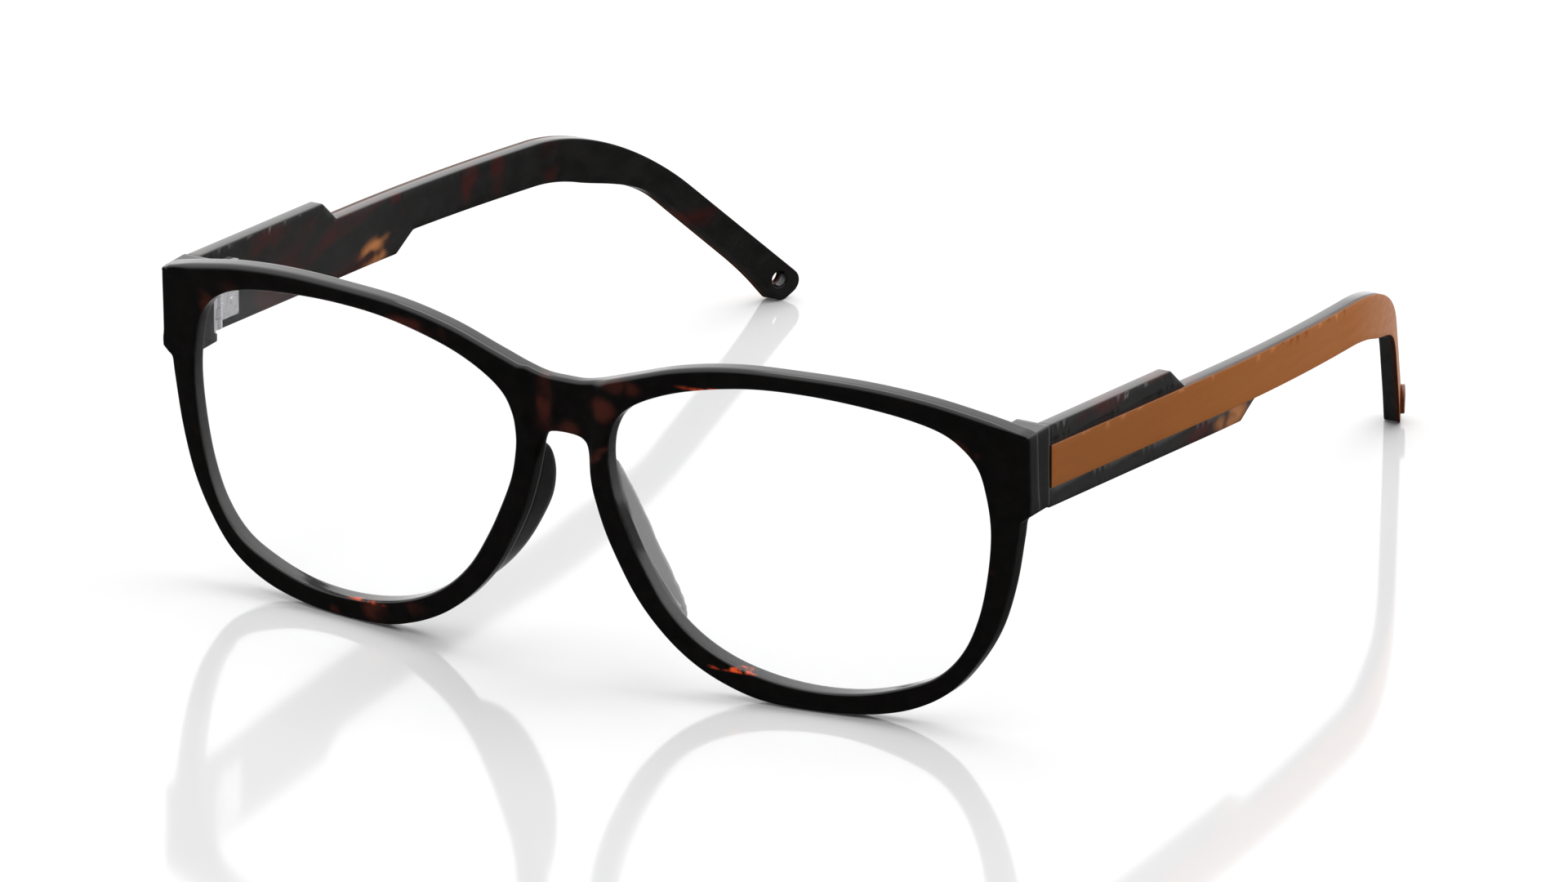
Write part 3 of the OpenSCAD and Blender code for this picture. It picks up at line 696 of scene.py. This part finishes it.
# ---------------------------------------------------------------- materials
class Tree:
    """A short way to write a material's node tree."""

    def __init__(self, name):
        self.mat = bpy.data.materials.new(name)
        self.mat.use_nodes = True
        self.nt = self.mat.node_tree
        self.bsdf = self.nt.nodes["Principled BSDF"]
        self.coord = self.node("ShaderNodeTexCoord").outputs["Object"]

    def node(self, kind, **settings):
        n = self.nt.nodes.new(kind)
        for k, v in settings.items():
            setattr(n, k, v)
        return n

    def link(self, a, b):
        self.nt.links.new(a, b)

    def put(self, **values):
        """Set plain values on the shader, with _ for each space in a socket's name."""
        for k, v in values.items():
            self.bsdf.inputs[k.replace("_", " ")].default_value = v

    def scaled(self, factors, offset=(0, 0, 0)):
        """The position in millimetres, multiplied by factors and moved by offset."""
        m = self.node("ShaderNodeMapping")
        m.inputs["Scale"].default_value = [f / MM for f in factors]
        m.inputs["Location"].default_value = offset
        self.link(self.coord, m.inputs["Vector"])
        return m.outputs["Vector"]

    def noise(self, vector, detail=3.0, rough=0.55, warp=0.0):
        n = self.node("ShaderNodeTexNoise")
        n.inputs["Scale"].default_value = 1.0
        n.inputs["Detail"].default_value = detail
        n.inputs["Roughness"].default_value = rough
        n.inputs["Distortion"].default_value = warp
        self.link(vector, n.inputs["Vector"])
        return n.outputs["Fac"]

    def span(self, value, lo, hi, to_lo=0.0, to_hi=1.0):
        """A value eased from lo..hi onto to_lo..to_hi, and held beyond the ends."""
        n = self.node("ShaderNodeMapRange", interpolation_type="SMOOTHSTEP")
        self.link(value, n.inputs["Value"])
        for key, v in (("From Min", lo), ("From Max", hi), ("To Min", to_lo), ("To Max", to_hi)):
            n.inputs[key].default_value = v
        return n.outputs["Result"]

    def maths(self, op, a, b):
        n = self.node("ShaderNodeMath", operation=op)
        for i, v in enumerate((a, b)):
            if isinstance(v, (int, float)):
                n.inputs[i].default_value = v
            else:
                self.link(v, n.inputs[i])
        return n.outputs["Value"]

    def mix(self, fac, a, b):
        """A colour between a and b, each a tuple or an output."""
        n = self.node("ShaderNodeMix", data_type="RGBA")
        self.link(fac, n.inputs["Factor"])
        input_a, input_b, output = 6, 7, 2  # the colour sockets, whose names are not unique
        for i, v in ((input_a, a), (input_b, b)):
            if isinstance(v, tuple):
                n.inputs[i].default_value = (*v, 1)
            else:
                self.link(v, n.inputs[i])
        return n.outputs[output]

    def near(self, centre, size):
        """1 at a point in millimetre coordinates, falling to 0 at the given half sizes from it."""
        m = self.node("ShaderNodeMapping")
        m.inputs["Scale"].default_value = [1 / s / MM for s in size]
        x, y, z = centre
        m.inputs["Location"].default_value = [-x / size[0], -(y + SHIFT_Y) / size[1], -z / size[2]]
        self.link(self.coord, m.inputs["Vector"])
        length = self.node("ShaderNodeVectorMath", operation="LENGTH")
        self.link(m.outputs["Vector"], length.inputs[0])
        return self.span(length.outputs["Value"], 0.35, 1.0, 1.0, 0.0)

    def highest(self, values):
        out = values[0]
        for v in values[1:]:
            out = self.maths("MAXIMUM", out, v)
        return out


AMBER = (0.50, 0.19, 0.06)
PAINTED_GLOW = (0.85, 0.10, 0.025)


def acetate(name, ground, stain, stain_level, stretch=(1, 1, 1), stains=(), ambers=(), painted_glows=()):
    """Polished tortoise acetate: a dark ground with soft stains all over above stain_level, and
    stains, amber flecks and painted light at places (edges made to glow orange by emission),
    each given as (centre, half sizes)."""
    t = Tree(name)
    big = t.noise(t.scaled([0.085 / s for s in stretch], (3.1, 7.7, 1.3)), 2.0, 0.5, 0.8)
    small = t.noise(t.scaled([0.42 / s for s in stretch]), 3.0, 0.6, 0.4)
    soft = t.noise(t.scaled([0.22 / s for s in stretch], (4, 4, 6)), 1.5, 0.45, 0.3)
    mask = t.span(big, stain_level, stain_level + 0.09)
    if stains:
        spots = t.highest([t.near(c, s) for c, s in stains])
        mask = t.maths("MAXIMUM", mask, t.maths("MULTIPLY", spots, t.span(soft, 0.26, 0.52)))
    mask = t.maths("MULTIPLY", mask, t.span(soft, 0.25, 0.7, 0.35, 1.0))
    colour = t.mix(t.span(small, 0.3, 0.7), tuple(c * 0.8 for c in ground),
                   tuple(c * 1.3 for c in ground))
    colour = t.mix(mask, colour, stain)
    if ambers:
        flecks = t.highest([t.near(c, s) for c, s in ambers])
        patchy = t.noise(t.scaled([0.3 / s for s in stretch], (5, 1, 4)), 1.5)
        flecks = t.maths("MULTIPLY", flecks, t.span(patchy, 0.36, 0.62))
        colour = t.mix(flecks, colour, AMBER)
    # painted light: an orange glow by emission, broken by noise, on the rims' edges; it stands in
    # for light shining through them
    if painted_glows:
        painted_glow_mask = t.highest([t.near(c, s) for c, s in painted_glows])
        broken = t.noise(t.scaled((0.5, 0.5, 0.5)), 3.0)
        painted_glow_mask = t.maths("MULTIPLY", painted_glow_mask, t.span(broken, 0.4, 0.62))
        colour = t.mix(painted_glow_mask, colour, PAINTED_GLOW)
        t.link(t.mix(painted_glow_mask, (0, 0, 0), PAINTED_GLOW), t.bsdf.inputs["Emission Color"])
        t.put(Emission_Strength=0.3)
    t.link(colour, t.bsdf.inputs["Base Color"])
    t.link(t.span(small, 0.2, 0.8, 0.07, 0.13), t.bsdf.inputs["Roughness"])
    t.put(IOR=1.49)
    return t.mat


def copper_strip():
    """Finely brushed copper lacquer, with a painted sheen that brightens it towards the ear and
    painted shade on its narrow edges.
    """
    t = Tree("copper_strip")
    brushed = t.noise(t.scaled((0.9, 0.05, 0.9)), 4.0, 0.65)
    cloud = t.noise(t.scaled((0.05, 0.03, 0.05), (2, 5, 8)), 2.0)
    sep = t.node("ShaderNodeSeparateXYZ")
    t.link(t.coord, sep.inputs["Vector"])
    # painted sheen: a brighter colour towards the ear stands in for the grazing reflection there
    along = t.span(sep.outputs["Y"], (20 + SHIFT_Y) * MM, (118 + SHIFT_Y) * MM)
    colour = t.mix(along, (0.36, 0.105, 0.010), (0.50, 0.145, 0.013))
    colour = t.mix(t.span(cloud, 0.3, 0.7, 0.0, 0.35), colour, (0.44, 0.155, 0.022))
    colour = t.mix(t.span(brushed, 0.3, 0.7, 0.0, 0.08), colour, (0.28, 0.085, 0.014))
    # painted shade: the narrow edges, which don't face sideways, are coloured dark; this goes by
    # the world's X, so for open temples only
    normal = t.node("ShaderNodeSeparateXYZ")
    t.link(t.node("ShaderNodeNewGeometry").outputs["Normal"], normal.inputs["Vector"])
    edge = t.span(t.maths("ABSOLUTE", normal.outputs["X"], 0), 0.45, 0.75, 1.0, 0.0)
    colour = t.mix(edge, colour, (0.045, 0.016, 0.009))
    t.link(colour, t.bsdf.inputs["Base Color"])
    t.link(t.span(brushed, 0.3, 0.7, 0.36, 0.46), t.bsdf.inputs["Roughness"])
    t.put(Metallic=0.2, Specular_IOR_Level=0.3)
    return t.mat


def plain(name, low, high, rough, metallic=0.0, scale=0.6):
    """A material whose colour and gloss vary a little over the surface."""
    t = Tree(name)
    grain = t.noise(t.scaled((scale, scale, scale)), 3.0)
    t.link(t.mix(t.span(grain, 0.3, 0.7), low, high), t.bsdf.inputs["Base Color"])
    t.link(t.span(grain, 0.3, 0.7, rough * 0.85, rough * 1.15), t.bsdf.inputs["Roughness"])
    t.put(Metallic=metallic)
    return t.mat


def clear_lens():
    """A clear coated lens, almost unseen."""
    t = Tree("clear_lens")
    coat = t.span(t.noise(t.scaled((0.05, 0.05, 0.05)), 1.0), 0.3, 0.7)
    t.link(t.mix(coat, (0.90, 0.95, 0.98), (0.97, 0.98, 1.0)), t.bsdf.inputs["Base Color"])
    t.put(Alpha=0.03, Roughness=0.02, IOR=1.3)
    return t.mat


# blotches seen in the photo, and the front's patches of painted light: centre and half sizes
FRONT_STAINS = [((-3.0, 1, 41), (1.8, 6, 6)), ((-0.5, 1, 37.4), (5, 6, 2.2)),
                ((10, 2, 45.6), (4.5, 6, 1.8)), ((7, 1, 41.5), (3, 6, 2.6)),
                ((-26, 2, 48), (6, 6, 2)), ((-58, 2, 46), (7, 6, 3)),
                ((-19, 2, 48.4), (2.2, 6, 1.6)), ((-33, 3, 2.4), (3.0, 6, 2.4))]
# painted light: patches on the rims' edges that glow orange by emission
FRONT_PAINTED_GLOWS = [((29, 3.4, 4.7), (8, 2.4, 0.55)), ((-38, 3.4, 3.5), (8, 2.4, 0.5)),
               ((-37, 2.5, 48.1), (9, 2.5, 0.9)), ((24, 2.5, 47.3), (9, 2.5, 0.7))]
TEMPLE_AMBERS = [((70, 69.5, 30.8), (9, 6.5, 2.8)), ((-70, 66.5, 31.2), (9, 6.0, 2.8))]
TEMPLE_STAINS = [((70, 32, 44), (9, 10, 2.0)), ((70, 48, 44), (9, 6, 1.5)),
                 ((-70, 34, 42), (9, 10, 3)), ((-68, 92, 34), (9, 3, 5)),
                 ((-68, 99, 34), (9, 2.2, 5)), ((-67, 112, 32), (9, 2.5, 5)),
                 ((70, 62, 31), (9, 10, 2.2)), ((-70, 62, 31), (9, 10, 2.2)),
                 ((-70, 40, 33), (9, 8, 3))]

acetate_front = acetate("acetate_front_tortoise", ground=(0.0045, 0.004, 0.0038),
                        stain=(0.062, 0.015, 0.010), stain_level=0.66,
                        stains=FRONT_STAINS, painted_glows=FRONT_PAINTED_GLOWS)
acetate_temple = acetate("acetate_temple_tortoise", ground=(0.013, 0.0125, 0.012),
                         stain=(0.055, 0.010, 0.008), stain_level=0.62, stretch=(1, 1.6, 1),
                         stains=TEMPLE_STAINS, ambers=TEMPLE_AMBERS)
acetate_pad = acetate("acetate_pad", ground=(0.010, 0.0095, 0.009),
                      stain=(0.02, 0.014, 0.012), stain_level=0.66)
copper = copper_strip()
steel = plain("hinge_steel", (0.82, 0.82, 0.84), (0.90, 0.90, 0.92), 0.3, 0.5, 0.4)
bronze = plain("collar_bronze", (0.13, 0.038, 0.020), (0.18, 0.055, 0.028), 0.32, 0.3)
lens_clear = clear_lens()
board_green = plain("board_laminate", (0.01, 0.07, 0.035), (0.015, 0.10, 0.05), 0.45)
chip_black = plain("chip_mould", (0.012, 0.012, 0.013), (0.03, 0.03, 0.032), 0.5)
foil = plain("copper_foil", (0.55, 0.25, 0.12), (0.72, 0.35, 0.18), 0.32, 1.0)
flex_amber = plain("flex_film", (0.36, 0.15, 0.03), (0.45, 0.20, 0.05), 0.4)
cell_wrap = plain("cell_wrap", (0.35, 0.36, 0.38), (0.48, 0.49, 0.5), 0.35, 0.6)


# ---------------------------------------------------------------- the pieces and their bodies
def finish_piece(obj, material, body, slot, *nodes):
    obj.data.materials.clear()
    obj.data.materials.append(material)
    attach(obj, body)
    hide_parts(*nodes)


finish_piece(build_front(), acetate_front, "front", "acetate", "front_frame")
for side, mirrored in (("left", False), ("right", True)):
    arm = "temple_arm_" + side
    finish_piece(build_lug("lug_" + side, mirrored), acetate_front, "front", "acetate",
                 "front_frame")
    finish_piece(build_lens("lens_pane_" + side, mirrored), lens_clear, "front", "lens",
                 "lens_" + side)
    finish_piece(build_pad("pad_" + side, mirrored), acetate_pad, "front", "acetate",
                 "nose_pad_" + side)
    finish_piece(build_temple("core_" + side, mirrored), acetate_temple, arm, "acetate",
                 "temple_" + side)
    finish_piece(build_strip("strip_" + side, mirrored), copper, arm, "copper_strip",
                 "temple_strip_" + side)
    finish_piece(build_collar("collar_" + side, mirrored), bronze, arm, "copper_strip",
                 "temple_strip_" + side)

# the CAD parts that are shown as they are, one on each side
CAD_LOOKS = {"front_leaf": steel, "front_rivets": steel, "hinge_screw": steel,
             "temple_leaf": steel, "temple_rivets": steel, "core_wire": steel,
             "board": board_green, "board_chips": chip_black, "antenna": foil,
             "touch_flex": flex_amber, "charge_coil": foil, "battery": cell_wrap}
BEVELLED = ("front_leaf", "temple_leaf", "hinge_screw")
BEVEL_W, BEVEL_ANGLE = 0.07, math.radians(40)
for stem, material in CAD_LOOKS.items():
    for side in ("left", "right"):
        node = NODES[stem + "_" + side]
        node.data.materials.clear()
        node.data.materials.append(material)
        if stem in BEVELLED:
            bevel = node.modifiers.new("edge", "BEVEL")
            bevel.width, bevel.segments = BEVEL_W * MM, 2
            bevel.limit_method, bevel.angle_limit = "ANGLE", BEVEL_ANGLE


# ---------------------------------------------------------------- stage, light and camera
def make_floor():
    """A glossy white ground, in metres, a hair under the glasses."""
    mesh = bpy.data.meshes.new("floor")
    half, drop = 40.0, 0.00005
    mesh.from_pydata([(-half, -half, 0), (half, -half, 0), (half, half, 0), (-half, half, 0)],
                     [], [(0, 1, 2, 3)])
    obj = bpy.data.objects.new("floor", mesh)
    obj.location.z = -drop
    bpy.context.scene.collection.objects.link(obj)
    t = Tree("floor_white")
    t.put(Base_Color=(0.71, 0.71, 0.713, 1), Roughness=0.08, Specular_IOR_Level=0.62)
    mesh.materials.append(t.mat)
    obj.visible_glossy = False


def make_world():
    """White overhead and behind, dark low in front, so that the dark front stays dark."""
    bright_side = (-0.35, 0.55, 1.0)
    levels = {"From Min": -0.24, "From Max": 0.7, "To Min": 0.03, "To Max": 1.45}
    world = bpy.data.worlds.new("studio")
    bpy.context.scene.world = world
    world.use_nodes = True
    nt = world.node_tree
    background = nt.nodes["Background"]
    coord = nt.nodes.new("ShaderNodeTexCoord")
    dot = nt.nodes.new("ShaderNodeVectorMath")
    dot.operation = "DOT_PRODUCT"
    dot.inputs[1].default_value = bright_side
    ramp = nt.nodes.new("ShaderNodeMapRange")
    ramp.interpolation_type = "SMOOTHSTEP"
    for key, v in levels.items():
        ramp.inputs[key].default_value = v
    nt.links.new(coord.outputs["Generated"], dot.inputs[0])
    nt.links.new(dot.outputs["Value"], ramp.inputs["Value"])
    nt.links.new(ramp.outputs["Result"], background.inputs["Strength"])
    background.inputs["Color"].default_value = (1, 1, 1, 1)


def make_light(name, place, aim, size, power):
    """A rectangular light at a place in metres, turned towards its aim."""
    data = bpy.data.lights.new(name, "AREA")
    data.shape, data.size, data.size_y, data.energy = "RECTANGLE", size[0], size[1], power
    obj = bpy.data.objects.new(name, data)
    obj.location = place
    obj.rotation_euler = (Vector(aim) - Vector(place)).to_track_quat("-Z", "Y").to_euler()
    bpy.context.scene.collection.objects.link(obj)


def make_camera():
    """The photo's camera, far off with a long lens, as the photo has almost no perspective."""
    azimuth, elevation = math.radians(30.01), math.radians(20.18)
    scale, picture_w = 8.50, 1920  # pixels to a millimetre, in a picture this wide
    distance = 6.0
    back = Vector((math.sin(azimuth) * math.cos(elevation),
                   -math.cos(azimuth) * math.cos(elevation), math.sin(elevation)))
    target = Vector((13.50 * MM, (41.36 + SHIFT_Y) * MM, 25 * MM))
    data = bpy.data.cameras.new("camera")
    data.sensor_width = 36
    data.lens = scale / MM * distance * data.sensor_width / picture_w
    data.clip_start, data.clip_end = 0.1, 100
    obj = bpy.data.objects.new("camera", data)
    obj.location = target + back * distance
    obj.rotation_euler = (-back).to_track_quat("-Z", "Y").to_euler()
    bpy.context.scene.collection.objects.link(obj)
    bpy.context.scene.camera = obj


make_floor()
make_world()
make_light("top_softbox", (0.0, 0.35, 0.9), (0, 0, 0.02), (0.9, 0.5), 3.0)
make_camera()
bpy.context.scene.view_settings.view_transform = "Standard"
